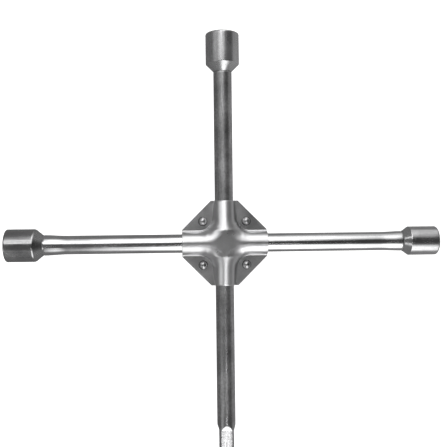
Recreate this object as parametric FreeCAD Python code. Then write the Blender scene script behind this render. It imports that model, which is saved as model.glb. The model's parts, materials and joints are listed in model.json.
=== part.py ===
"""Four-way lug wrench: two round bars crossed in a riveted, pressed-steel hub.

The cross bar runs along X and carries the 19 mm (-X) and 17 mm (+X) hexagon sockets.
The drive bar runs along Y and carries the 21 mm socket (+Y) and the half-inch square drive (-Y).
Everything is built about the plane where the two bars meet, then raised so that z = 0 is the
lowest point. All sizes are in millimetres.
"""

import FreeCAD, Part
import math
import os

Vector = FreeCAD.Vector
X_AXIS = Vector(1, 0, 0)
Z_AXIS = Vector(0, 0, 1)
ORIGIN = Vector(0, 0, 0)

# Bars
BAR_DIAMETER = 16.2
BAR_STEP = 3.5             # each bar's axis lies this far from the plane where they meet
CROSS_REACH = 188.0        # hub centre to the mouths of the 19 and 17 mm sockets
DRIVE_REACH = 185.0        # hub centre to the mouth of the 21 mm socket and to the drive's tip
SADDLE_GAP = 0.3           # room each side of a bar in the saddle pressed into the other
SADDLE_FLARE = 2.0         # how much further the saddle's ends lean out at the bar's surface
UPSET_TAPER = 20.0         # length over which a bar's end swells towards its socket

# Sockets by hexagon across flats: outside diameter, barrel length, cone length, neck diameter
# and the rounding of the shoulder between barrel and cone
SOCKETS = {
    21: {"outside": 29.6, "barrel": 27.0, "cone": 7.2, "neck": BAR_DIAMETER, "shoulder": 1.0},
    19: {"outside": 28.3, "barrel": 25.0, "cone": 7.0, "neck": 17.8, "shoulder": 3.4},
    17: {"outside": 25.3, "barrel": 25.2, "cone": 6.0, "neck": 17.4, "shoulder": 1.4},
}
HEXAGON_DEPTH = 18.0
HEXAGON_PLAY = 0.15        # added to the nominal size across flats
STUD_BORE_DEPTH = 24.0     # clearance for the wheel stud, from the mouth
STUD_BORE_UNDERSIZE = 2.0  # stud bore's diameter below the size across flats
MOUTH_CHAMFER = 1.4        # depth of the lead-in at the hexagon's corners
LEAD_IN_OVERSIZE = 0.35    # how far the lead-in passes the hexagon's corners at the mouth
RIM_ROUNDING = 1.6

# Square drive
DRIVE_SQUARE = 12.7
DRIVE_LENGTH = 20.4
DRIVE_RAMP = 4.4           # run-out of each flat into the round bar
DRIVE_CHAMFER = 1.6

# Ball detent in the drive's rear flat
BALL_RADIUS = 2.4
BALL_PLAY = 0.06
BALL_SINK = 1.34           # depth of the ball's centre below the flat
LIP_RADIUS = 2.2           # staked rim that keeps the ball in
LIP_THICKNESS = 0.35
DETENT_FROM_TIP = 8.0
DETENT_DEPTH = 9.5
WIRE_RADIUS = 0.25
SPRING_RADIUS = 1.85
SPRING_TURNS = 5
SPRING_END_GAP = 0.03      # clearance at each end of the spring

# Hub covers
SHEET = 2.0
COVER_PLAY = 0.1
COVER_REACH = 37.2         # hub centre to each end of the cover
END_FLAT = 11.9            # half width of the outline's four end flats
BLEND_CENTRE = 22.0        # the corner blends turn about (+-22, +-22)
CREASE = 11.5              # the far channel starts to slope this far from the centre

# Rivets
RIVET_PLACE = 19.1         # rivets stand at (+-19.1, +-19.1)
RIVET_SHANK_RADIUS = 2.55
RIVET_HOLE_RADIUS = 2.6
RIVET_HEAD_RADIUS = 4.0
RIVET_HEAD_HEIGHT = 2.5

BAR_RADIUS = BAR_DIAMETER / 2
BELOW = 20.0               # any depth that clears the whole model
CHANNEL_HALF = 44.0        # half length of the channel tools, well past the cover's ends
NEAR = 0.01                # tolerance for finding an edge by its place
FLOOR_LIFT = BAR_STEP + SOCKETS[21]["outside"] / 2

os.makedirs("parts", exist_ok=True)


# ---- helpers ---------------------------------------------------------------

def box(low, high):
    """Box between two corners."""
    size = high - low
    return Part.makeBox(size.x, size.y, size.z, low)


def prism(points, direction):
    """Closed polygon swept along a straight direction."""
    return Part.Face(Part.makePolygon(points + points[:1])).extrude(direction)


def turned(edges, axis):
    """Closed wire of edges turned once round an axis through the origin."""
    return Part.Face(Part.Wire(edges)).revolve(ORIGIN, axis, 360)


def polyline(points):
    """Straight edges joining the points in turn."""
    return [Part.LineSegment(a, b).toShape() for a, b in zip(points, points[1:])]


def fused(shapes):
    """One solid of several, without the seams between coplanar faces."""
    return shapes[0].multiFuse(shapes[1:]).removeSplitter()


def four_corners(distance):
    """Plan positions (+-distance, +-distance)."""
    return [Vector(x, y, 0) for x in (distance, -distance) for y in (distance, -distance)]


def along_y(shape):
    """A shape modelled along X, turned to run along Y."""
    return shape.rotate(ORIGIN, Z_AXIS, 90)


# ---- bars ------------------------------------------------------------------

def bar_end(size, reach):
    """Distance from the hub centre to where a bar meets a socket's neck."""
    return reach - SOCKETS[size]["barrel"] - SOCKETS[size]["cone"]


def round_bar(left, right, left_radius, right_radius):
    """Bar along X whose ends swell to the given radii."""
    outline = [
        Vector(left, 0, 0),
        Vector(left, 0, left_radius),
        Vector(left + UPSET_TAPER, 0, BAR_RADIUS),
        Vector(right - UPSET_TAPER, 0, BAR_RADIUS),
        Vector(right, 0, right_radius),
        Vector(right, 0, 0),
    ]
    return turned(polyline(outline + outline[:1]), X_AXIS)


def saddle(side):
    """Tool for the flat saddle in a bar along X: side -1 cuts the underside, 1 the top."""
    half = BAR_RADIUS + SADDLE_GAP
    section = [
        Vector(-half, -BELOW, 0),
        Vector(half, -BELOW, 0),
        Vector(half + SADDLE_FLARE, -BELOW, side * BAR_RADIUS),
        Vector(-half - SADDLE_FLARE, -BELOW, side * BAR_RADIUS),
    ]
    return prism(section, Vector(0, 2 * BELOW, 0))


def cross_bar():
    """Front bar, along X, notched underneath."""
    left = -bar_end(19, CROSS_REACH)
    right = bar_end(17, CROSS_REACH)
    bar = round_bar(left, right, SOCKETS[19]["neck"] / 2, SOCKETS[17]["neck"] / 2)
    bar.translate(Vector(0, 0, BAR_STEP))
    return bar.cut(saddle(-1))


def flat_tool():
    """Wedge that mills one flat of the square drive, with its run-out and tip chamfer."""
    half = DRIVE_SQUARE / 2
    rise = BAR_RADIUS - half
    tip = -DRIVE_REACH
    overcut = 1.0
    section = [
        Vector(tip - overcut, -BELOW, half - DRIVE_CHAMFER - overcut),
        Vector(tip + DRIVE_CHAMFER, -BELOW, half),
        Vector(tip + DRIVE_LENGTH, -BELOW, half),
        Vector(tip + DRIVE_LENGTH + DRIVE_RAMP, -BELOW, half + rise),
        Vector(tip + DRIVE_LENGTH + DRIVE_RAMP, -BELOW, half + rise + overcut),
        Vector(tip - overcut, -BELOW, half + rise + overcut),
    ]
    return prism(section, Vector(0, 2 * BELOW, 0))


def detent_pocket():
    """Blind hole for the ball and spring, opening through a narrower lip in the lower flat."""
    flat = Vector(DETENT_FROM_TIP - DRIVE_REACH, 0, -DRIVE_SQUARE / 2)
    mouth = Part.makeCylinder(LIP_RADIUS, 2 * LIP_THICKNESS, flat - Z_AXIS * LIP_THICKNESS)
    chamber = Part.makeCylinder(
        BALL_RADIUS + BALL_PLAY,
        DETENT_DEPTH - LIP_THICKNESS,
        flat + Z_AXIS * LIP_THICKNESS,
    )
    return mouth.fuse(chamber)


def drive_bar():
    """Rear bar, modelled along X and turned to Y, with the square drive at its -Y end."""
    right = bar_end(21, DRIVE_REACH)
    bar = round_bar(-DRIVE_REACH, right, BAR_RADIUS, SOCKETS[21]["neck"] / 2)
    tool = flat_tool()
    for quarter in range(4):
        bar = bar.cut(tool.copy().rotate(ORIGIN, X_AXIS, 90 * quarter))
    bar = bar.cut(detent_pocket())
    bar.translate(Vector(0, 0, -BAR_STEP))
    return along_y(bar.cut(saddle(1)))


# ---- sockets ---------------------------------------------------------------

def hexagon(across_flats, start, depth):
    """Hexagonal prism along +X with two flats facing up and down."""
    corner = across_flats / math.sqrt(3)
    turns = [math.radians(60 * i) for i in range(6)]
    points = [start + Vector(0, corner * math.cos(a), corner * math.sin(a)) for a in turns]
    return prism(points, X_AXIS * depth)


def lead_in(size):
    """Cone at the mouth, x = 0, that breaks the hexagon's corners."""
    wide = (size + HEXAGON_PLAY) / math.sqrt(3) + LEAD_IN_OVERSIZE
    return Part.makeCone(wide, wide - MOUTH_CHAMFER, MOUTH_CHAMFER, ORIGIN, X_AXIS)


def socket(size):
    """Socket with its mouth at x = 0 and its neck towards +X."""
    shape = SOCKETS[size]
    outside = shape["outside"] / 2
    neck = shape["neck"] / 2
    length = shape["barrel"] + shape["cone"]
    outline = [
        Vector(0, 0, 0),
        Vector(0, 0, outside),
        Vector(shape["barrel"], 0, outside),
        Vector(length, 0, neck),
        Vector(length, 0, 0),
    ]
    body = turned(polyline(outline + outline[:1]), X_AXIS)
    body = rounded_ring(body, 0, outside, RIM_ROUNDING)
    body = rounded_ring(body, shape["barrel"], outside, shape["shoulder"])
    stud_radius = (size - STUD_BORE_UNDERSIZE) / 2
    hollow = [
        hexagon(size + HEXAGON_PLAY, ORIGIN, HEXAGON_DEPTH),
        Part.makeCylinder(stud_radius, STUD_BORE_DEPTH, ORIGIN, X_AXIS),
        lead_in(size),
    ]
    return body.cut(fused(hollow))


def rounded_ring(body, x, radius, rounding):
    """Fillets the circular edge of a body of revolution at x with that radius."""
    ring = [
        edge
        for edge in body.Edges
        if isinstance(edge.Curve, Part.Circle)
        and abs(edge.Curve.Center.x - x) < NEAR
        and abs(edge.Curve.Radius - radius) < NEAR
    ]
    return body.makeFillet(rounding, ring)


def place_socket(size):
    """Socket moved to the end of its arm."""
    body = socket(size)
    if size == 21:
        body.rotate(ORIGIN, Z_AXIS, -90)
        body.translate(Vector(0, DRIVE_REACH, -BAR_STEP))
    elif size == 17:
        body.rotate(ORIGIN, Z_AXIS, 180)
        body.translate(Vector(CROSS_REACH, 0, BAR_STEP))
    else:
        body.translate(Vector(-CROSS_REACH, 0, BAR_STEP))
    return body


# ---- hub covers ------------------------------------------------------------

def channel(wall):
    """Arched channel along X, of half width wall, over a bar at height BAR_STEP."""
    left_foot = Vector(-CHANNEL_HALF, -wall, -BELOW)
    right_foot = Vector(-CHANNEL_HALF, wall, -BELOW)
    left_spring = Vector(-CHANNEL_HALF, -wall, BAR_STEP)
    right_spring = Vector(-CHANNEL_HALF, wall, BAR_STEP)
    crown = Vector(-CHANNEL_HALF, 0, BAR_STEP + wall)
    section = polyline([left_spring, left_foot, right_foot, right_spring])
    section.append(Part.Arc(right_spring, crown, left_spring).toShape())
    return Part.Face(Part.Wire(section)).extrude(X_AXIS * 2 * CHANNEL_HALF)


def corner_pit(wall):
    """What is scooped out at a corner, about z, so that the two channels blend."""
    crown = BAR_STEP + wall
    foot = BLEND_CENTRE - wall
    halfway = Vector(BLEND_CENTRE, 0, BAR_STEP) + Vector(-wall, 0, wall) / math.sqrt(2)
    spring = Vector(foot, 0, BAR_STEP)
    edge = Vector(BLEND_CENTRE, 0, crown)
    section = [Part.Arc(spring, halfway, edge).toShape()]
    section += polyline([
        edge,
        Vector(BLEND_CENTRE, 0, BELOW),
        Vector(0, 0, BELOW),
        Vector(0, 0, -BELOW),
        Vector(foot, 0, -BELOW),
        spring,
    ])
    return turned(section, Z_AXIS)


def level_dome(wall):
    """Both channels at one height, with their four corner blends."""
    reach = BLEND_CENTRE
    middle = box(Vector(-reach, -reach, -BELOW), Vector(reach, reach, BAR_STEP + wall))
    pit = corner_pit(wall)
    for corner in four_corners(BLEND_CENTRE):
        middle = middle.cut(pit.copy().translate(corner))
    return fused([middle, channel(wall), along_y(channel(wall))])


def leaning(part, side):
    """Shears the part beyond the crease on one side, so that its ridge slopes down outwards."""
    slope = 2 * BAR_STEP / (COVER_REACH - CREASE)
    shear = FreeCAD.Matrix()
    shear.A32 = -side * slope
    shear.A34 = slope * CREASE
    return part.transformGeometry(shear)


def dome(wall):
    """Raised middle of a cover: level over the near bar, sloping down to the far bar."""
    level = level_dome(wall)
    far = 2 * BELOW + COVER_REACH
    middle = level.common(box(Vector(-far, -CREASE, -far), Vector(far, CREASE, far)))
    upper = level.common(box(Vector(-far, CREASE, -far), Vector(far, far, far)))
    lower = level.common(box(Vector(-far, -far, -far), Vector(far, -CREASE, far)))
    return middle.multiFuse([leaning(upper, 1), leaning(lower, -1)])


def cover_outline(bottom, top):
    """Prism of the cover's plan outline: a square with its corners cut at 45 degrees."""
    reach, flat = COVER_REACH, END_FLAT
    quarter = [(reach, -flat), (reach, flat)]
    turns = [(1, 0), (0, 1), (-1, 0), (0, -1)]
    points = [
        Vector(x * c - y * s, x * s + y * c, bottom)
        for c, s in turns
        for x, y in quarter
    ]
    return prism(points, Z_AXIS * (top - bottom))


def front_cover():
    """Pressed cover over the cross bar, its four flanges lying on the meeting plane."""
    clear = BAR_RADIUS + COVER_PLAY
    raised = dome(clear + SHEET).common(cover_outline(0, BELOW))
    body = raised.fuse(cover_outline(0, SHEET))
    body = body.cut(dome(clear))
    for place in four_corners(RIVET_PLACE):
        hole = Part.makeCylinder(RIVET_HOLE_RADIUS, 2 * SHEET, place - Z_AXIS * SHEET / 2)
        body = body.cut(hole)
    return body


def rear_cover(front):
    """The same pressing turned over, its level channel along the drive bar."""
    return front.copy().rotate(ORIGIN, Vector(1, 1, 0), 180)


# ---- rivets and detent -----------------------------------------------------

def rivet():
    """Rivet with a domed head on each side of the two flanges."""
    crown = SHEET + RIVET_HEAD_HEIGHT
    cap_radius = (RIVET_HEAD_RADIUS ** 2 + RIVET_HEAD_HEIGHT ** 2) / (2 * RIVET_HEAD_HEIGHT)
    cap = Part.makeSphere(cap_radius, Z_AXIS * (crown - cap_radius))
    head = cap.common(box(Vector(-BELOW, -BELOW, SHEET), Vector(BELOW, BELOW, BELOW)))
    shank = Part.makeCylinder(RIVET_SHANK_RADIUS, 2 * SHEET, -Z_AXIS * SHEET)
    return fused([shank, head, head.copy().rotate(ORIGIN, X_AXIS, 180)])


def detent_axis():
    """Point where the detent's axis leaves the drive's rear flat."""
    return Vector(0, DETENT_FROM_TIP - DRIVE_REACH, -BAR_STEP - DRIVE_SQUARE / 2)


def detent_ball():
    """Ball held out by the spring, proud of the rear flat."""
    return Part.makeSphere(BALL_RADIUS, detent_axis() + Z_AXIS * BALL_SINK)


def detent_spring():
    """Helical spring from the pocket's floor to the ball's underside."""
    seat = math.sqrt((BALL_RADIUS + WIRE_RADIUS) ** 2 - SPRING_RADIUS ** 2)
    start = BALL_SINK + seat + SPRING_END_GAP
    height = DETENT_DEPTH - WIRE_RADIUS - SPRING_END_GAP - start
    path = Part.makeHelix(height / SPRING_TURNS, height, SPRING_RADIUS)
    wire_circle = Part.makeCircle(WIRE_RADIUS, Vector(SPRING_RADIUS, 0, 0), Vector(0, 1, 0))
    coil = Part.Wire(path).makePipeShell([Part.Wire(wire_circle)], True, True)
    coil.translate(detent_axis() + Z_AXIS * start)
    return Part.Solid(coil)


# ---- assembly --------------------------------------------------------------

def assembly():
    """Every piece by its node's name, about the plane where the bars meet."""
    front = front_cover()
    pieces = {
        "cross_bar": cross_bar(),
        "drive_bar": drive_bar(),
        "front_cover": front,
        "rear_cover": rear_cover(front),
        "detent_ball": detent_ball(),
        "detent_spring": detent_spring(),
    }
    for size in SOCKETS:
        pieces[f"socket_{size}"] = place_socket(size)
    for number, place in enumerate(four_corners(RIVET_PLACE), start=1):
        pieces[f"rivet_{number}"] = rivet().translate(place)
    return pieces


for name, shape in assembly().items():
    shape.translate(Vector(0, 0, FLOOR_LIFT))
    shape.exportStep(f"parts/{name}.step")
    print(f"{name}: valid {shape.isValid()}, solids {len(shape.Solids)}, {shape.Volume:.0f} mm3")
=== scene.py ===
"""Looks of the four-way lug wrench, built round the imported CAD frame.

Every CAD node is replaced by a finer mesh of the same size in the same place: bars, sockets,
rivets and ball are skins drawn through rings, the pressed covers are swept sheets, and the
spring is a wire swept along its helix. All lengths are in metres, in the row frame: +X to the
17 mm socket, +Y to the 21 mm socket, +Z out of the front cover.
"""

import json
import math

import bmesh
import bpy
import numpy as np
from mathutils import Matrix, Vector


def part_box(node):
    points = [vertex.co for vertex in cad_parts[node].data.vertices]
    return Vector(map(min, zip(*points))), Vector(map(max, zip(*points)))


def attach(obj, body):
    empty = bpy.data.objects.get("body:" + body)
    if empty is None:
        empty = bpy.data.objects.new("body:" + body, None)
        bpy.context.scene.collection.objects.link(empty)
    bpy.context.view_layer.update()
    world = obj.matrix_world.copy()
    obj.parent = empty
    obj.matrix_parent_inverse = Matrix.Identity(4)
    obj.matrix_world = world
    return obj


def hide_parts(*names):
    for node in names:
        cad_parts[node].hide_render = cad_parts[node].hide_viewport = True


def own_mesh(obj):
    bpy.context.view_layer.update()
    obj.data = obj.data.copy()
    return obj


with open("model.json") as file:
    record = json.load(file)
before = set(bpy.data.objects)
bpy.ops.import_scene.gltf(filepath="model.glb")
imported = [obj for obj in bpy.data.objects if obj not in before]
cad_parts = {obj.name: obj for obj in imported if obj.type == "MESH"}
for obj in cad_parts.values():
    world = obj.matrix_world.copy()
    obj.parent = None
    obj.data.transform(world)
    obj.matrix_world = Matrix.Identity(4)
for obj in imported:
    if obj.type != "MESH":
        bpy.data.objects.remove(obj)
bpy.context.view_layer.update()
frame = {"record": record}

MM = 0.001
BODY = "wrench"
X_AXIS = Vector((1, 0, 0))
Y_AXIS = Vector((0, 1, 0))
Z_AXIS = Vector((0, 0, 1))

# Bars
BAR_RADIUS = 8.1 * MM
SADDLE_HALF = 8.4 * MM
SADDLE_FLARE = 2.0 * MM
UPSET_TAPER = 20.0 * MM
UPSET_DIP = 0.22 * MM       # shallow groove of the ground-flush weld at each neck
WELD_HALF = 0.55 * MM
CROSS_SPACING = 2.0 * MM    # between the rings along the cross bar
CROSS_FINE = 2.0 * MM       # reach of the closer rings, each side of its ends and saddle
DRIVE_SPACING = 2.5 * MM
DRIVE_FINE = 3.0 * MM
FINE_STEPS = 16

# Sockets: lengths of barrel and cone, radius of the neck, rounding of the shoulder
SOCKETS = {
    21: {"barrel": 27.0 * MM, "cone": 7.2 * MM, "neck": 8.1 * MM, "shoulder": 1.0 * MM},
    19: {"barrel": 25.0 * MM, "cone": 7.0 * MM, "neck": 8.9 * MM, "shoulder": 3.4 * MM},
    17: {"barrel": 25.2 * MM, "cone": 6.0 * MM, "neck": 8.7 * MM, "shoulder": 1.4 * MM},
}
HEXAGON_DEPTH = 18.0 * MM
HEXAGON_PLAY = 0.15 * MM
HEXAGON_ROUNDING = 0.35 * MM
STUD_BORE_DEPTH = 24.0 * MM
STUD_BORE_UNDERSIZE = 2.0 * MM
MOUTH_CHAMFER = 1.4 * MM
RIM_ROUNDING = 1.6 * MM
CONE_FOOT = 2.2 * MM        # rounding of the cone's foot at the neck
WELD_RISE = 0.1 * MM        # rise of the neck at the weld line's edge
CONE_RISE = 0.5 * MM        # and at the cone's foot
WELD_ROUNDING = CONE_FOOT / 8
SOCKET_SPACING = 3.0 * MM   # between the rings along a socket
CHAMFER_STEPS = 8

# Square drive and its ball detent
DRIVE_HALF = 6.35 * MM
DRIVE_LENGTH = 20.4 * MM
DRIVE_RAMP = 4.4 * MM
DRIVE_CHAMFER = 1.6 * MM
DRIVE_SOFTNESS = 0.16 * MM
FLAT_MARGIN = 0.12 * MM     # depth below the round bar from which a flat counts as ground
LIP_RADIUS = 2.2 * MM
LIP_THICKNESS = 0.35 * MM
CUT_START = 1.4 * MM        # the pocket's cutting tool starts this far outside the flat
CHAMBER_RADIUS = 2.46 * MM
DETENT_DEPTH = 9.5 * MM
WIRE_RADIUS = 0.25 * MM
SPRING_RADIUS = 1.85 * MM
SPRING_TURNS = 5
TURN_RINGS = 40             # rings along one turn of the spring
BALL_STEPS = 32

# Hub covers
SHEET = 2.0 * MM
ARCH_RADIUS = 10.2 * MM     # outer radius of the channels
BLEND_CENTRE = 22.0 * MM    # the channels' feet turn their corners about (22, 22)
RIDGE_TURN = 16.0 * MM      # the ridges turn theirs, nearer to the hub's centre
FOOT_ROUNDING = 1.1 * MM    # outer rounding where a channel meets its flange
CREASE = 11.5 * MM          # the far channel slopes down from here on
CREASE_HALF = 0.8 * MM
END_FLAT = 11.9 * MM        # half width of the outline's four end flats
EDGE_ROUNDING = 0.28 * MM
FLANGE_MARGIN = 0.012 * MM  # height over the sheet's thickness that still counts as flange
ARCH_STEPS = 22             # points along a section: over the arch, round the bend, over the flange
BEND_STEPS = 7
FLANGE_STEPS = 5
TURN_STEPS = 66             # sections round the corner, and along each straight channel
STRAIGHT_STEPS = 20
PATCH_STEPS = 8
ANGLE_STEP = 0.001          # for the arch's direction, in radians
BISECTIONS = 30

# Rivets
RIVET_SHANK_RADIUS = 2.55 * MM
RIVET_HOLE_RADIUS = 2.6 * MM
RIVET_HEAD_RADIUS = 4.0 * MM
RIVET_RIM_SHADE_RADIUS = RIVET_HEAD_RADIUS * 0.8     # the head's rim outside this is painted dark: painted shade for the contact shadow round the head
RIVET_HEAD_HEIGHT = 2.5 * MM
DOME_STEPS = 14

# Meshes
AROUND = 192                # points round a bar or socket
SMALL_AROUND = 64           # round a rivet, the ball or the pocket
HOLE_AROUND = 48
WIRE_AROUND = 16
CORNER_STEPS = 7            # points round each rounded corner of a socket
MERGE_DISTANCE = 0.002 * MM
LEAST_EDGE = 0.001 * MM
SHARP_ANGLE = math.radians(38)

# Finishes: pattern scales per metre, smallest along an axis where the grain is drawn out
ALONG_X = (60.0, 1100.0, 1100.0)
ALONG_Y = (1100.0, 60.0, 1100.0)
NO_GRAIN = (420.0, 420.0, 420.0)
RIPPLE_SHARE = 9            # how much coarser the slow waves are than the grain
CLOUD_SCALE = 55.0
BLOTCH_SCALE = 420.0
PIT_SCALE = 900.0
PATTERN_ROUGHNESS = 0.55

# Finishes: range of each pattern over which its effect grows from least to most
CLOUD_RANGE = (0.3, 0.7)
STREAK_RANGE = (0.35, 0.65)
BLOTCH_RANGE = (0.38, 0.62)
PIT_RANGE = (0.66, 0.74)
DULL_RANGE = (0.15, 0.38)   # of the clouds times the grain
WORN_RANGE = (0.53, 0.6)    # of the pointiness at outside edges
CORNER_SHADE_RANGE = (0.46, 0.49)  # of the pointiness in inside corners, where the colour is darkened as painted shade

# Finishes: size of each effect
CORNER_SHADE_SHARE = 0.35          # of its colour that the metal keeps in inside corners, under the painted shade
WORN_BRIGHTNESS = 0.35
WORN_POLISH = 0.04          # off the roughness
BLOTCH_POLISH = 0.1
PIT_ROUGHNESS = 0.25
BLUENESS = 1.01             # blue over red and green

# Camera
CAMERA_DISTANCE = 0.575     # from the hub's middle plane
FOCAL_PIXELS = 653.0        # image pixels for a slope of one
IMAGE_SIDE = 447
SENSOR = 36.0
CAMERA_YAW = math.radians(-3.16)
CAMERA_ROLL = math.radians(0.66)
AIM = Vector((-0.00075, 0.0171, 0.0))

# Studio
FLOOR_HALF = 6.0
WALLS = 0.25                # brightness of the studio's far ends
WALL_SPAN = (0.15, 0.6)     # it rises over this range of a direction's Y
HORIZON = 0.38              # brightness low down
HORIZON_SPAN = (0.1, 0.5)   # it fades over this range of Z
HORIZON_SIDES = (-0.5, 0.8)     # and from half to full over this range of X
CEILING = (0.17, 0.06)      # brightness overhead, from the left to the right
CEILING_SPAN = (-0.4, 0.3)  # over this range of X

# Lights as angles in degrees: centre and reach along the tilt from overhead towards +Y and
# across towards +X; core is the share of the reach that is at full brightness
LAMPS = [
    {"centre": (50.0, 3.0), "reach": (38.0, 21.0), "core": 0.3, "brightness": 2.0},
    {"centre": (78.0, 16.0), "reach": (32.0, 20.0), "core": 0.3, "brightness": 0.6},
    {"centre": (-64.0, 9.0), "reach": (41.0, 22.0), "core": 0.4, "brightness": 2.1},
    {"centre": (35.0, -28.0), "reach": (14.0, 42.0), "core": 0.4, "brightness": 1.5},
    {"centre": (-37.0, -42.0), "reach": (14.0, 30.0), "core": 0.4, "brightness": 1.2},
    {"centre": (20.0, -9.0), "reach": (7.5, 26.0), "core": 0.4, "brightness": 2.1},
    {"centre": (-18.0, 3.2), "reach": (6.0, 3.8), "core": 0.5, "brightness": 4.6},
    {"centre": (-39.0, 3.0), "reach": (10.0, 12.0), "core": 0.4, "brightness": 1.6},
]


# ---- places read from the frame ---------------------------------------------

def mount_point(name):
    """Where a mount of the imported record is."""
    mounts = {mount["name"]: mount for mount in frame["record"]["mounts"]}
    return Vector(mounts[name]["pos_m"])


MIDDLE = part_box("front_cover")[0].z
CROSS_Z = mount_point("stud_bore_17").z
DRIVE_Z = mount_point("stud_bore_21").z
COVER_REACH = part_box("front_cover")[1].x
BAR_STEP = CROSS_Z - MIDDLE


# ---- mesh helpers -----------------------------------------------------------

def finish_mesh(mesh):
    """Merges coincident points, turns the faces outwards and shades them smoothly."""
    shape = bmesh.new()
    shape.from_mesh(mesh)
    bmesh.ops.remove_doubles(shape, verts=shape.verts, dist=MERGE_DISTANCE)
    bmesh.ops.dissolve_degenerate(shape, dist=LEAST_EDGE, edges=shape.edges)
    bmesh.ops.recalc_face_normals(shape, faces=shape.faces)
    shape.to_mesh(mesh)
    shape.free()
    mesh.shade_smooth()
    mesh.set_sharp_from_angle(angle=SHARP_ANGLE)


def new_piece(name, vertices, faces, materials, second=()):
    """Object of a mesh in the row frame; the faces numbered in second take the second material."""
    mesh = bpy.data.meshes.new(name)
    mesh.from_pydata([tuple(v) for v in vertices], [], faces)
    for material in materials:
        mesh.materials.append(material)
    for number in second:
        mesh.polygons[number].material_index = 1
    finish_mesh(mesh)
    piece = bpy.data.objects.new(name, mesh)
    bpy.context.scene.collection.objects.link(piece)
    return piece


def stands_for(piece, node, body=BODY):
    """Puts a piece in a CAD node's place."""
    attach(piece, body)
    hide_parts(node)
    return piece


def skin(rings):
    """Points and faces of a closed skin through rings of equal count, capped at both ends."""
    count = len(rings[0])
    faces = []
    for i in range(len(rings) - 1):
        for j in range(count):
            k = (j + 1) % count
            faces.append((i * count + j, i * count + k, (i + 1) * count + k, (i + 1) * count + j))
    last = (len(rings) - 1) * count
    faces.append(tuple(range(count)))
    faces.append(tuple(range(last, last + count)))
    return np.concatenate(rings), faces


def circle_angles(count=AROUND):
    """Angles of the points round a ring."""
    return np.arange(count) * (2 * math.pi / count)


def ring(centre, side, up, radii):
    """Ring of points at the given radii, from the direction side towards the direction up."""
    angles = circle_angles(len(radii))
    across = np.outer(radii * np.cos(angles), side)
    above = np.outer(radii * np.sin(angles), up)
    return np.array(centre) + across + above


def rounded(corners):
    """Polyline through (along, radius, rounding) with its corners rounded."""
    points = [Vector(corners[0][:2])]
    for before, corner, after in zip(corners, corners[1:], corners[2:]):
        tip = Vector(corner[:2])
        rounding = corner[2]
        back = (Vector(before[:2]) - tip).normalized()
        ahead = (Vector(after[:2]) - tip).normalized()
        half = back.angle(ahead) / 2
        centre = tip + (back + ahead).normalized() * (rounding / math.sin(half))
        reach = rounding / math.tan(half)
        first = (tip + back * reach - centre).normalized()
        final = (tip + ahead * reach - centre).normalized()
        for i in range(CORNER_STEPS + 1):
            points.append(centre + first.slerp(final, i / CORNER_STEPS) * rounding)
    points.append(Vector(corners[-1][:2]))
    return points


def divided(points, longest):
    """The same polyline with no step longer than a given length."""
    result = [points[0]]
    for a, b in zip(points, points[1:]):
        pieces = max(1, math.ceil((b - a).length / longest))
        result += [a.lerp(b, i / pieces) for i in range(1, pieces + 1)]
    return result


def smooth_step(value):
    """Eases from 0 to 1 as the value goes from 0 to 1."""
    t = np.clip(value, 0, 1)
    return t * t * (3 - 2 * t)


def soft_least(first, second, softness):
    """Smaller of two values, with the corner between them rounded."""
    gap = np.clip((second - first) / softness, -40, 40)     # keeps exp in range
    return first - softness * (np.log1p(np.exp(-gap)) - math.log(2) * np.exp(-gap * gap))


def cut_away(piece, tool):
    """Cuts a tool's shape out of a piece and removes the tool."""
    modifier = piece.modifiers.new("cut", "BOOLEAN")
    modifier.object = tool
    modifier.operation = "DIFFERENCE"
    modifier.solver = "EXACT"
    bpy.context.view_layer.update()
    graph = bpy.context.evaluated_depsgraph_get()
    mesh = bpy.data.meshes.new_from_object(piece.evaluated_get(graph), depsgraph=graph)
    piece.modifiers.clear()
    piece.data = mesh
    bpy.data.objects.remove(tool)
    mesh.shade_smooth()
    mesh.set_sharp_from_angle(angle=SHARP_ANGLE)


def even_shading(piece):
    """Lets the large faces lead the shading at shared points."""
    modifier = piece.modifiers.new("even shading", "WEIGHTED_NORMAL")
    modifier.keep_sharp = True


# ---- bars -------------------------------------------------------------------

def neck_radius(away, neck):
    """Radius of an upset bar end at a distance from the weld, dipping where it was ground."""
    taper = neck + (BAR_RADIUS - neck) * smooth_step(away / UPSET_TAPER)
    return taper - UPSET_DIP * np.exp(-((away / WELD_HALF) ** 2))


def stations(low, high, spacing, fine_places, fine_half):
    """Places along a bar, closer together round each of the fine places."""
    places = set(np.linspace(low, high, round((high - low) / spacing) + 1))
    for place in fine_places:
        for offset in np.linspace(-fine_half, fine_half, FINE_STEPS + 1):
            if low < place + offset < high:
                places.add(place + offset)
    return sorted(places)


def saddle_level(away):
    """How far a saddle's surface lies beyond the middle plane, at a distance along the bar."""
    return max(0.0, away - SADDLE_HALF) / SADDLE_FLARE * BAR_RADIUS


def cross_bar(materials):
    """Front bar, swelling to both sockets, with its saddle underneath."""
    low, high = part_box("cross_bar")[0].x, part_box("cross_bar")[1].x
    fine = [low, high, -SADDLE_HALF, SADDLE_HALF]
    rings = []
    for place in stations(low, high, CROSS_SPACING, fine, CROSS_FINE):
        left = neck_radius(place - low, SOCKETS[19]["neck"])
        right = neck_radius(high - place, SOCKETS[17]["neck"])
        radius = left if place < 0 else right
        points = ring((place, 0, CROSS_Z), Y_AXIS, Z_AXIS, np.full(AROUND, radius))
        points[:, 2] = np.maximum(points[:, 2], MIDDLE - saddle_level(abs(place)))
        rings.append(points)
    piece = new_piece("cross_bar_finished", *skin(rings), materials)
    return stands_for(piece, "cross_bar")


def flat_distance(place, tip):
    """How far the drive's four flats stand from the bar's axis, at a place along it."""
    away = place - tip
    ramp = np.clip((away - DRIVE_LENGTH) / DRIVE_RAMP, 0, 2)
    chamfer = max(0.0, DRIVE_CHAMFER - away)
    return DRIVE_HALF + ramp * (BAR_RADIUS - DRIVE_HALF) - chamfer


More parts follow.
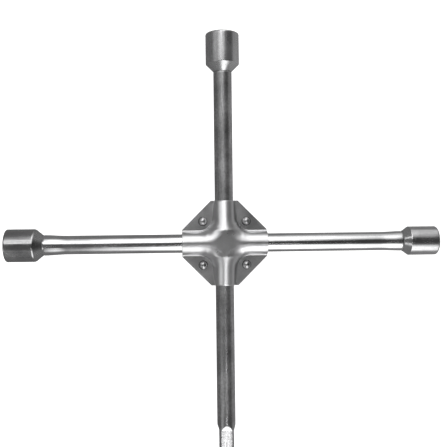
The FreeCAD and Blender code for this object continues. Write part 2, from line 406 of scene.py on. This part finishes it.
def drive_radii(place, tip):
    """Radii round the forged square: the bar's own, cut back by four flats."""
    angles = circle_angles(AROUND * 2)
    nearest_flat = np.maximum(np.abs(np.cos(angles)), np.abs(np.sin(angles)))
    flats = flat_distance(place, tip) / nearest_flat
    return soft_least(np.full(len(angles), BAR_RADIUS), flats, DRIVE_SOFTNESS)


def detent_pocket():
    """Blind hole for the ball and spring, opening through a narrower lip in the rear flat."""
    low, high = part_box("detent_ball")
    centre = (low + high) / 2
    flat = DRIVE_Z - DRIVE_HALF
    outline = [
        (flat - CUT_START, LIP_RADIUS),
        (flat + LIP_THICKNESS, LIP_RADIUS),
        (flat + LIP_THICKNESS, CHAMBER_RADIUS),
        (flat + DETENT_DEPTH, CHAMBER_RADIUS),
    ]
    rings = [
        ring((centre.x, centre.y, height), X_AXIS, Y_AXIS, np.full(SMALL_AROUND, radius))
        for height, radius in outline
    ]
    return new_piece("detent_pocket", *skin(rings), [])


def drive_bar(materials):
    """Rear bar with its saddle on top, its square drive and the pocket for the detent."""
    tip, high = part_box("drive_bar")[0].y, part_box("drive_bar")[1].y
    run_out = tip + DRIVE_LENGTH + DRIVE_RAMP / 2
    fine = [tip, run_out, -SADDLE_HALF, SADDLE_HALF, high]
    rings = []
    for place in stations(tip, high, DRIVE_SPACING, fine, DRIVE_FINE):
        radii = drive_radii(place, tip)
        if place > tip + 2 * DRIVE_LENGTH:
            radii = np.full(len(radii), neck_radius(high - place, SOCKETS[21]["neck"]))
        points = ring((0, place, DRIVE_Z), Z_AXIS, X_AXIS, radii)
        points[:, 2] = np.minimum(points[:, 2], MIDDLE + saddle_level(abs(place)))
        rings.append(points)
    vertices, faces = skin(rings)
    depth = BAR_RADIUS - np.hypot(vertices[:, 0], vertices[:, 2] - DRIVE_Z)
    ground = (depth > FLAT_MARGIN) & (vertices[:, 1] < tip + DRIVE_LENGTH + DRIVE_RAMP)
    flats = [number for number, face in enumerate(faces) if ground[list(face)].all()]
    piece = new_piece("drive_bar_finished", vertices, faces, materials, flats)
    cut_away(piece, detent_pocket())
    return stands_for(piece, "drive_bar")


# ---- sockets ----------------------------------------------------------------

def hexagon_radii(across_flats):
    """Radii round a hexagon with slightly rounded corners and two flats facing up and down."""
    angles = circle_angles()
    corner = across_flats / math.sqrt(3) - HEXAGON_ROUNDING
    to_flat = (angles + math.pi / 6) % (math.pi / 3) - math.pi / 6
    flats = across_flats / 2 / np.cos(math.pi / 6 - np.abs(to_flat))
    return np.minimum(flats, corner)


def socket_outline(size, outside):
    """Outside of a socket as (distance from the mouth, radius), from its neck to its mouth."""
    shape = SOCKETS[size]
    length = shape["barrel"] + shape["cone"]
    dip = shape["neck"] - UPSET_DIP
    corners = [
        (length, dip, 0),
        (length - WELD_HALF, shape["neck"] + WELD_RISE, WELD_ROUNDING),
        (length - WELD_HALF * 2, shape["neck"] + CONE_RISE, CONE_FOOT),
        (shape["barrel"], outside, shape["shoulder"]),
        (0, outside, RIM_ROUNDING),
        (0, (size * MM + HEXAGON_PLAY) / math.sqrt(3), 0),
    ]
    return rounded(corners)


def socket_rings(size, outside):
    """Rings of a socket as (distance from the mouth, radii), outside first, then down its bore."""
    outline = divided(socket_outline(size, outside)[:-1], SOCKET_SPACING)
    rings = [(along, np.full(AROUND, radius)) for along, radius in outline]
    hexagon = hexagon_radii(size * MM + HEXAGON_PLAY)
    wide = hexagon.max() + MOUTH_CHAMFER / 2
    for step in range(CHAMFER_STEPS + 1):
        along = MOUTH_CHAMFER * step / CHAMFER_STEPS
        rings.append((along, np.maximum(hexagon, wide - along)))
    rings.append((HEXAGON_DEPTH, hexagon))
    bore = np.full(AROUND, (size * MM - STUD_BORE_UNDERSIZE) / 2)
    rings.append((HEXAGON_DEPTH, bore))
    rings.append((STUD_BORE_DEPTH, bore))
    return rings, len(outline)


def socket(size, outward, materials):
    """Socket on the end of an arm that points outward."""
    node = f"socket_{size}"
    low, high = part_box(node)
    mouth = mount_point(f"hex_recess_{size}")
    outside = (high.z - low.z) / 2
    side = outward.cross(Z_AXIS)
    rings, outer_count = socket_rings(size, outside)
    points = [ring(mouth - outward * along, side, Z_AXIS, radii) for along, radii in rings]
    vertices, faces = skin(points)
    weld = list(range(AROUND))
    bore = list(range((outer_count + 1) * AROUND, (len(rings) - 1) * AROUND)) + [len(faces) - 1]
    piece = new_piece(f"{node}_finished", vertices, faces, materials, weld + bore)
    even_shading(piece)
    return stands_for(piece, node)


# ---- hub covers -------------------------------------------------------------

def crease_drop(across):
    """How far the far channel has sloped down at a distance from the near channel's axis."""
    slope = 2 * BAR_STEP / (COVER_REACH - CREASE)
    beyond = across - CREASE
    if beyond > CREASE_HALF:
        return slope * beyond
    eased = max(0.0, beyond + CREASE_HALF)
    return slope * eased * eased / (4 * CREASE_HALF)


class Station:
    """One cross-section of a quarter cover: a vertical plane that starts on a ridge."""

    def __init__(self, ridge, inward):
        self.ridge = ridge
        self.inward = inward

    def stretch(self, radius):
        """How much wider than a half circle the arch is here, so that its foot is in place."""
        out = Vector((BLEND_CENTRE, BLEND_CENTRE)) - self.ridge
        along = out.dot(self.inward)
        aside = out.length_squared - along * along
        turn = BLEND_CENTRE - radius
        if max(self.ridge) >= BLEND_CENTRE:
            return 1.0
        return (along - math.sqrt(turn * turn - aside)) / radius

    def plan(self, reach):
        """Plan position at a distance from the ridge."""
        return self.ridge + self.inward * reach

    def arch_point(self, angle, radius):
        """Distance and height on the arch, at an angle from its crown."""
        reach = radius * self.stretch(radius) * math.sin(angle)
        drop = crease_drop(self.plan(reach).y)
        return Vector((reach, BAR_STEP + radius * math.cos(angle) - drop))

    def bend_centre(self, angle, radius, bend):
        """Arch's point at an angle, and the centre of the foot's bend if it touched there."""
        here = self.arch_point(angle, radius)
        ahead = self.arch_point(angle + ANGLE_STEP, radius) - here
        normal = Vector((-ahead.y, ahead.x)).normalized()
        return here, here + normal * bend

    def profile(self, radius, bend, base):
        """Points from the ridge over the arch and round the foot's bend to the flange."""
        low, high = 0.0, math.pi / 2
        for _ in range(BISECTIONS):
            middle = (low + high) / 2
            if self.bend_centre(middle, radius, bend)[1].y > base + bend:
                low = middle
            else:
                high = middle
        touch, centre = self.bend_centre(low, radius, bend)
        points = [self.arch_point(low * i / ARCH_STEPS, radius) for i in range(ARCH_STEPS + 1)]
        first = (touch - centre).normalized()
        centre.y = base + bend
        for i in range(BEND_STEPS + 1):
            points.append(centre + first.slerp(Vector((0, -1)), i / BEND_STEPS) * bend)
        return [Vector((*self.plan(point.x), point.y)) for point in points]


def cover_stations():
    """Sections round a quarter: along the near channel, round the corner, up the far one."""
    length = COVER_REACH - EDGE_ROUNDING - RIDGE_TURN
    straight = [RIDGE_TURN + length * i / STRAIGHT_STEPS for i in range(STRAIGHT_STEPS + 1)]
    near = [Station(Vector((place, 0)), Vector((0, 1))) for place in reversed(straight)]
    corner = Vector((RIDGE_TURN, RIDGE_TURN))
    turn = []
    for i in range(1, TURN_STEPS):
        angle = math.pi / 2 * i / TURN_STEPS
        inward = Vector((math.sin(angle), math.cos(angle)))
        turn.append(Station(corner - inward * RIDGE_TURN, inward))
    far = [Station(Vector((0, place)), Vector((1, 0))) for place in straight]
    return near + turn + far


def flange_row(foot, position):
    """Points from the foot of the channel to the cut corner's edge."""
    reach = COVER_REACH - EDGE_ROUNDING
    flat = END_FLAT - EDGE_ROUNDING * math.tan(math.pi / 8)
    edge = Vector((
        (reach + flat + position * (reach - flat)) / 2,
        (reach + flat - position * (reach - flat)) / 2,
        foot.z,
    ))
    return [foot.lerp(edge, i / FLANGE_STEPS) for i in range(1, FLANGE_STEPS + 1)]


def sheet_rows(radius, bend, base):
    """Rows of points over one face of a quarter sheet, ridge first, cut edge last."""
    rows = [station.profile(radius, bend, base) for station in cover_stations()]
    places = [row[-1].x - row[-1].y for row in rows]
    first, final = places[0], places[-1]
    for row, place in zip(rows, places):
        row += flange_row(row[-1], 1 - 2 * (first - place) / (first - final))
    return rows


def star_rows(rows, height):
    """Patch between the corner's ridge and the two axes, where the channels cross."""
    turn = [row[0] for row in rows[STRAIGHT_STEPS:-STRAIGHT_STEPS]]
    half = len(turn) // 2
    shares = [i / PATCH_STEPS for i in range(PATCH_STEPS + 1)]
    sides = []
    for part, index in ((turn[:half + 1], 1), (turn[half:], 0)):
        strip = []
        for point in part:
            foot = point.copy()
            foot[index] = 0
            strip.append([foot.lerp(point, share) for share in shares])
        sides.append(strip)
    corner = turn[half]
    middle = [[Vector((corner.x * i, corner.y * j, height)) for j in shares] for i in shares]
    return sides + [middle]


def rim_rows(outer, inner):
    """Rounded edge that joins the sheet's two faces along the quarter's outline."""
    last = len(outer) - 1
    ends = len(outer[0]) - 1
    border = [(0, j) for j in range(ends)]
    border += [(i, ends) for i in range(last)]
    border += [(last, j) for j in range(ends, -1, -1)]
    corner = math.tan(math.pi / 8)
    rows = []
    for i, j in border:
        away = Vector((1, 1, 0)) / math.sqrt(2)
        if i == 0:
            away = Vector((1, 0, 0)) if j < ends else Vector((1, corner, 0))
        elif i == last:
            away = Vector((0, 1, 0)) if j < ends else Vector((corner, 1, 0))
        top, bottom = outer[i][j], inner[i][j]
        share = EDGE_ROUNDING / SHEET
        rows.append([
            top,
            top.lerp(bottom, share) + away * EDGE_ROUNDING,
            top.lerp(bottom, 1 - share) + away * EDGE_ROUNDING,
            bottom,
        ])
    return rows


def quarter_cover():
    """Grids of points that together skin one quarter of a cover, about the middle plane."""
    outer = sheet_rows(ARCH_RADIUS, FOOT_ROUNDING, SHEET)
    inner = sheet_rows(ARCH_RADIUS - SHEET, FOOT_ROUNDING + SHEET, 0)
    grids = [outer, inner, rim_rows(outer, inner)]
    grids += star_rows(outer, BAR_STEP + ARCH_RADIUS)
    grids += star_rows(inner, BAR_STEP + ARCH_RADIUS - SHEET)
    return grids


def cover_skin():
    """Points and faces of a whole cover, its middle plane at z = 0."""
    vertices, faces = [], []
    for grid in quarter_cover():
        for flip_x, flip_y in ((1, 1), (-1, 1), (-1, -1), (1, -1)):
            start = len(vertices)
            across = len(grid[0])
            vertices += [Vector((p.x * flip_x, p.y * flip_y, p.z)) for row in grid for p in row]
            for i in range(len(grid) - 1):
                for j in range(across - 1):
                    corner = start + i * across + j
                    faces.append((corner, corner + 1, corner + across + 1, corner + across))
    return vertices, faces


def rivet_places():
    """Plan position of each rivet by its node's name."""
    places = {}
    for number in (1, 2, 3, 4):
        low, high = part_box(f"rivet_{number}")
        places[f"rivet_{number}"] = (low + high) / 2
    return places


def hole_tools():
    """Four pins that cut the rivet holes of both covers."""
    vertices, faces = [], []
    for centre in rivet_places().values():
        radii = np.full(HOLE_AROUND, RIVET_HOLE_RADIUS)
        rings = [
            ring((centre.x, centre.y, MIDDLE + height), X_AXIS, Y_AXIS, radii)
            for height in (-2 * SHEET, 2 * SHEET)
        ]
        points, skin_faces = skin(rings)
        faces += [tuple(i + len(vertices) for i in face) for face in skin_faces]
        vertices += list(points)
    return new_piece("rivet_holes", vertices, faces, [])


def cover(node, materials):
    """One pressed cover; the rear one is the front one turned over about the diagonal."""
    vertices, faces = cover_skin()
    if node == "rear_cover":
        vertices = [Vector((v.y, v.x, -v.z)) for v in vertices]
    level = SHEET + FLANGE_MARGIN
    flanges = [
        number for number, face in enumerate(faces)
        if all(abs(vertices[v].z) < level for v in face)
    ]
    raised = [v + Z_AXIS * MIDDLE for v in vertices]
    piece = new_piece(f"{node}_finished", raised, faces, materials, flanges)
    cut_away(piece, hole_tools())
    even_shading(piece)
    return stands_for(piece, node)


# ---- rivets and detent ------------------------------------------------------

def rivet(node, centre, materials):
    """Rivet with a domed head on each side of the two flanges."""
    crown = SHEET + RIVET_HEAD_HEIGHT
    cap = (RIVET_HEAD_RADIUS ** 2 + RIVET_HEAD_HEIGHT ** 2) / (2 * RIVET_HEAD_HEIGHT)
    widest = math.asin(RIVET_HEAD_RADIUS / cap)
    upper = []
    for i in range(1, DOME_STEPS + 1):
        angle = widest * i / DOME_STEPS
        upper.append((crown - cap + cap * math.cos(angle), cap * math.sin(angle)))
    upper.append((SHEET, RIVET_SHANK_RADIUS))
    outline = upper + [(-height, radius) for height, radius in reversed(upper)]
    rings = [
        ring((centre.x, centre.y, MIDDLE + height), X_AXIS, Y_AXIS, np.full(SMALL_AROUND, radius))
        for height, radius in outline
    ]
    vertices, faces = skin(rings)
    # Painted shade: the faces of the head's outer rim take a dark second material, a painted
    # contact shadow round the head.
    seats = [
        number for number, face in enumerate(faces)
        if all(math.dist(vertices[v][:2], centre[:2]) > RIVET_RIM_SHADE_RADIUS for v in face)
    ]
    piece = new_piece(f"{node}_finished", vertices, faces, materials, seats)
    return stands_for(piece, node)


def detent_ball(materials):
    """Ball of the drive's detent."""
    low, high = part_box("detent_ball")
    centre = (low + high) / 2
    radius = (high.z - low.z) / 2
    rings = []
    for i in range(1, BALL_STEPS):
        angle = math.pi * i / BALL_STEPS
        middle = centre + Z_AXIS * radius * math.cos(angle)
        radii = np.full(SMALL_AROUND, radius * math.sin(angle))
        rings.append(ring(middle, X_AXIS, Y_AXIS, radii))
    piece = new_piece("detent_ball_finished", *skin(rings), materials)
    return stands_for(piece, "detent_ball", "detent")


def detent_spring(materials):
    """Coil spring between the ball and the pocket's floor, drawn at one length; the real one
    shortens as the ball goes in.
    """
    low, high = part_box("detent_spring")
    ball_low, ball_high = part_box("detent_ball")
    centre = (ball_low + ball_high) / 2
    rise = high.z - low.z - 2 * WIRE_RADIUS
    steps = TURN_RINGS * SPRING_TURNS
    rings = []
    for i in range(steps + 1):
        turn = 2 * math.pi * SPRING_TURNS * i / steps
        outward = Vector((math.cos(turn), math.sin(turn), 0))
        height = low.z + WIRE_RADIUS + rise * i / steps
        place = Vector((centre.x, centre.y, height)) + outward * SPRING_RADIUS
        rings.append(ring(place, outward, Z_AXIS, np.full(WIRE_AROUND, WIRE_RADIUS)))
    piece = new_piece("detent_spring_finished", *skin(rings), materials)
    stands_for(piece, "detent_spring")
    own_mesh(piece)
    return piece


# ---- finishes ---------------------------------------------------------------

class Graph:
    """Short calls for the shader nodes of a tree."""

    def __init__(self, tree):
        self.tree = tree

    def node(self, kind):
        """New node of a kind."""
        return self.tree.nodes.new("ShaderNode" + kind)

    def link(self, output, target):
        """Joins an output to an input."""
        self.tree.links.new(output, target)

    def remap(self, value, source, target, smooth=False):
        """Value moved from one range to another, clamped."""
        node = self.node("MapRange")
        node.interpolation_type = "SMOOTHSTEP" if smooth else "LINEAR"
        for name, number in zip(("From Min", "From Max", "To Min", "To Max"), source + target):
            node.inputs[name].default_value = number
        self.link(value, node.inputs["Value"])
        return node.outputs["Result"]

    def combine(self, operation, *values):
        """Result of a Math operation on patterns or numbers."""
        node = self.node("Math")
        node.operation = operation
        for place, value in enumerate(values):
            if isinstance(value, float):
                node.inputs[place].default_value = value
            else:
                self.link(value, node.inputs[place])
        return node.outputs["Value"]


class Finish(Graph):
    """Node tree of one metal finish."""

    def __init__(self, name):
        self.material = bpy.data.materials.new(name)
        self.material.use_nodes = True
        super().__init__(self.material.node_tree)
        self.shader = self.tree.nodes["Principled BSDF"]
        self.place = self.node("TexCoord").outputs["Object"]

    def stretched(self, scale):
        """Object position scaled by a different amount along each axis."""
        node = self.node("Mapping")
        node.inputs["Scale"].default_value = scale
        self.link(self.place, node.inputs["Vector"])
        return node.outputs["Vector"]

    def noise(self, vector, scale, detail=4.0):
        """Cloudy pattern about 0.5."""
        node = self.node("TexNoise")
        node.inputs["Scale"].default_value = scale
        node.inputs["Detail"].default_value = detail
        node.inputs["Roughness"].default_value = PATTERN_ROUGHNESS
        self.link(vector, node.inputs["Vector"])
        return node.outputs["Fac"]

    def pointiness(self, source, target):
        """Pattern from how far a place sticks out: high on outside edges, low in corners."""
        return self.remap(self.node("NewGeometry").outputs["Pointiness"], source, target)

    def colour(self, value, tones, share):
        """Grey between two tones by a pattern, darkened to a share of itself by another."""
        ramp = self.node("ValToRGB")
        for element, tone in zip(ramp.color_ramp.elements, tones):
            element.color = (tone, tone, tone * BLUENESS, 1)
        self.link(value, ramp.inputs["Fac"])
        shade = self.node("VectorMath")
        shade.operation = "SCALE"
        self.link(ramp.outputs["Color"], shade.inputs[0])
        self.link(share, shade.inputs["Scale"])
        self.link(shade.outputs["Vector"], self.shader.inputs["Base Color"])

    def bump(self, layers):
        """Relief of (pattern, depth) layers, in metres."""
        normal = None
        for pattern, depth in layers:
            node = self.node("Bump")
            node.inputs["Distance"].default_value = depth
            self.link(pattern, node.inputs["Height"])
            if normal:
                self.link(normal, node.inputs["Normal"])
            normal = node.outputs["Normal"]
        self.link(normal, self.shader.inputs["Normal"])


def metal(name, tones, gloss, grain, grain_depth=0.004 * MM, wave=0.01 * MM, specks=0.3,
          streaks=0.2, blotches=0.1):
    """Plated steel: grain, slow waves, cloudy dulling, specks, streaks, blotches, worn edges and
    painted shade darkening the inside corners. Tones and gloss are the darkest and lightest colour
    and the least and most roughness; specks, streaks and blotches are shares of the tones' range."""
    finish = Finish(name)
    finish.shader.inputs["Metallic"].default_value = 1.0
    lines = finish.noise(finish.stretched(grain), 1.0, detail=3.0)
    coarse = [scale / RIPPLE_SHARE for scale in grain]
    ripple = finish.noise(finish.stretched(coarse), 1.0, detail=1.0)
    clouds = finish.noise(finish.place, CLOUD_SCALE)
    pits = finish.noise(finish.place, PIT_SCALE, detail=2.0)
    pits = finish.remap(pits, PIT_RANGE, (0.0, specks))
    blotch = finish.noise(finish.place, BLOTCH_SCALE, detail=2.0)
    blotch = finish.remap(blotch, BLOTCH_RANGE, (-blotches, blotches))
    worn = finish.pointiness(WORN_RANGE, (0.0, 1.0))

    rough = finish.remap(finish.combine("MULTIPLY", clouds, lines), DULL_RANGE, gloss)
    rough = finish.combine("ADD", rough, finish.combine("MULTIPLY", pits, PIT_ROUGHNESS))
    rough = finish.combine("SUBTRACT", rough, finish.combine("MULTIPLY", worn, WORN_POLISH))
    rough = finish.combine("SUBTRACT", rough, finish.combine("MULTIPLY", blotch, BLOTCH_POLISH))
    finish.link(rough, finish.shader.inputs["Roughness"])

    tone = finish.remap(clouds, CLOUD_RANGE, (streaks, 1.0))
    streak = finish.remap(lines, STREAK_RANGE, (0.0, streaks * 2))
    tone = finish.combine("SUBTRACT", tone, streak)
    tone = finish.combine("ADD", tone, finish.combine("MULTIPLY", worn, WORN_BRIGHTNESS))
    tone = finish.combine("ADD", tone, blotch)
    tone = finish.combine("SUBTRACT", tone, pits)
    # Painted shade: the colour is darkened where the pointiness is low, in inside corners and
    # creases.
    finish.colour(tone, tones, finish.pointiness(CORNER_SHADE_RANGE, (CORNER_SHADE_SHARE, 1.0)))

    finish.bump([(ripple, wave), (lines, grain_depth), (clouds, wave * 2)])
    return finish.material


def finishes():
    """The wrench's metals by name."""
    return {
        "bright_x": metal("bright_chrome_bar", (0.66, 0.8), (0.1, 0.2), ALONG_X),
        "bright_y": metal("bright_chrome_cover", (0.72, 0.86), (0.27, 0.36), NO_GRAIN, 0.004 * MM),
        "flange": metal("chrome_flange", (0.5, 0.68), (0.3, 0.4), NO_GRAIN, 0.004 * MM,
                        specks=0.5, blotches=0.25),
        "satin_y": metal("satin_chrome_bar", (0.46, 0.84), (0.28, 0.46), ALONG_Y, 0.012 * MM,
                         specks=0.7, streaks=0.4, blotches=0.16),
        "ground": metal("ground_drive_flat", (0.7, 0.96), (0.2, 0.3), ALONG_Y, 0.01 * MM,
                        specks=0.5, streaks=0.3),
        "satin_socket": metal("satin_chrome_socket", (0.6, 0.84), (0.22, 0.34), ALONG_Y, 0.01 * MM,
                              streaks=0.3, blotches=0.05),
        "socket": metal("chrome_socket", (0.62, 0.78), (0.14, 0.26), ALONG_X),
        # Painted shade: the same chrome as the 17 mm socket, only darker, for the 19 mm socket.
        "shaded_socket": metal("chrome_socket_painted_shade", (0.42, 0.56), (0.14, 0.26), ALONG_X),
        "inside": metal("dull_socket_bore", (0.22, 0.4), (0.45, 0.65), NO_GRAIN, 0.01 * MM,
                        specks=0.6),
        "rivet": metal("plated_rivet", (0.5, 0.72), (0.24, 0.36), NO_GRAIN, 0.006 * MM,
                       specks=0.6),
        # Dark rim of each rivet head: painted shade, not the rivet's own colour.
        "seat": metal("rivet_seat", (0.08, 0.22), (0.4, 0.6), NO_GRAIN, 0.006 * MM, specks=0.6),
        "ball": metal("polished_ball", (0.55, 0.7), (0.06, 0.12), NO_GRAIN, 0.001 * MM,
                      0.002 * MM),
        "spring": metal("spring_wire", (0.3, 0.5), (0.3, 0.45), NO_GRAIN, 0.004 * MM),
    }


# ---- stage, light and camera ------------------------------------------------

def floor():
    """Plain white floor, bright enough to show no shadow, which the metal doesn't mirror."""
    mesh = bpy.data.meshes.new("floor")
    corners = [(x * FLOOR_HALF, y * FLOOR_HALF, 0) for x, y in ((-1, -1), (1, -1), (1, 1), (-1, 1))]
    mesh.from_pydata(corners, [], [(0, 1, 2, 3)])
    material = bpy.data.materials.new("floor_white")
    material.use_nodes = True
    shader = material.node_tree.nodes["Principled BSDF"]
    shader.inputs["Base Color"].default_value = (0.8, 0.8, 0.8, 1)
    shader.inputs["Emission Color"].default_value = (1, 1, 1, 1)
    shader.inputs["Emission Strength"].default_value = 1.0
    mesh.materials.append(material)
    plane = bpy.data.objects.new("floor", mesh)
    bpy.context.scene.collection.objects.link(plane)
    plane.visible_glossy = False
    plane.visible_shadow = False
    plane.visible_diffuse = False


def glow(graph, tilt, across, centre, reach, core, brightness):
    """Soft oval light: full within its core, gone at its reach."""
    from_tilt = graph.combine("DIVIDE", graph.combine("SUBTRACT", tilt, centre[0]), reach[0])
    from_side = graph.combine("DIVIDE", graph.combine("SUBTRACT", across, centre[1]), reach[1])
    squares = [graph.combine("MULTIPLY", value, value) for value in (from_tilt, from_side)]
    away = graph.combine("SQRT", graph.combine("ADD", *squares))
    return graph.remap(away, (core, 1.0), (brightness, 0.0), smooth=True)


def surroundings():
    """Grey studio with soft lights. The camera sees plain white behind the wrench."""
    world = bpy.data.worlds.new("studio")
    bpy.context.scene.world = world
    world.use_nodes = True
    world.node_tree.nodes.clear()
    graph = Graph(world.node_tree)
    split = graph.node("SeparateXYZ")
    graph.link(graph.node("TexCoord").outputs["Generated"], split.inputs["Vector"])
    x, y, z = (split.outputs[name] for name in "XYZ")
    tilt = graph.combine("DEGREES", graph.combine("ARCTAN2", y, z))
    across = graph.combine("DEGREES", graph.combine("ARCSINE", x))
    depth = graph.combine("ABSOLUTE", y)
    ceiling = graph.remap(x, CEILING_SPAN, CEILING, smooth=True)
    ends = graph.remap(depth, WALL_SPAN, (0.0, WALLS), smooth=True)
    low = graph.remap(z, HORIZON_SPAN, (HORIZON, 0.0), smooth=True)
    low = graph.combine("MULTIPLY", low, graph.remap(x, HORIZON_SIDES, (0.5, 1.0)))
    light = graph.combine("MAXIMUM", ceiling, graph.combine("MAXIMUM", ends, low))
    for lamp in LAMPS:
        light = graph.combine("ADD", light, glow(graph, tilt, across, **lamp))
    grey = graph.node("Background")
    graph.link(light, grey.inputs["Strength"])
    white = graph.node("Background")
    white.inputs["Color"].default_value = (1, 1, 1, 1)
    mix = graph.node("MixShader")
    graph.link(graph.node("LightPath").outputs["Is Camera Ray"], mix.inputs["Fac"])
    graph.link(grey.outputs["Background"], mix.inputs[1])
    graph.link(white.outputs["Background"], mix.inputs[2])
    graph.link(mix.outputs["Shader"], graph.node("OutputWorld").inputs["Surface"])


def camera():
    """Camera above the hub, looking down at a slight angle from the left."""
    data = bpy.data.cameras.new("camera")
    data.sensor_width = SENSOR
    data.lens = SENSOR * FOCAL_PIXELS / IMAGE_SIDE
    eye = bpy.data.objects.new("camera", data)
    bpy.context.scene.collection.objects.link(eye)
    bpy.context.scene.camera = eye
    swing = Matrix.Rotation(CAMERA_YAW, 4, "Y")
    aim = Matrix.Translation(AIM + Z_AXIS * MIDDLE)
    roll = Matrix.Rotation(-CAMERA_ROLL, 4, "Z")
    eye.matrix_world = aim @ swing @ roll @ Matrix.Translation(Z_AXIS * CAMERA_DISTANCE)


def studio():
    """Floor, surroundings and camera."""
    floor()
    surroundings()
    camera()
    bpy.context.scene.view_settings.view_transform = "Standard"


# ---- the wrench -------------------------------------------------------------

def wrench():
    """Every piece of the wrench in its place."""
    metals = finishes()
    inside = metals["inside"]
    cross_bar([metals["bright_x"]])
    drive_bar([metals["satin_y"], metals["ground"]])
    socket(21, Y_AXIS, [metals["satin_socket"], inside])
    # The 19 mm socket takes the darker copy of the socket chrome: painted shade.
    socket(19, -X_AXIS, [metals["shaded_socket"], inside])
    socket(17, X_AXIS, [metals["socket"], inside])
    for node in ("front_cover", "rear_cover"):
        cover(node, [metals["bright_y"], metals["flange"]])
    for node, centre in rivet_places().items():
        rivet(node, centre, [metals["rivet"], metals["seat"]])
    detent_ball([metals["ball"]])
    detent_spring([metals["spring"]])


wrench()
studio()
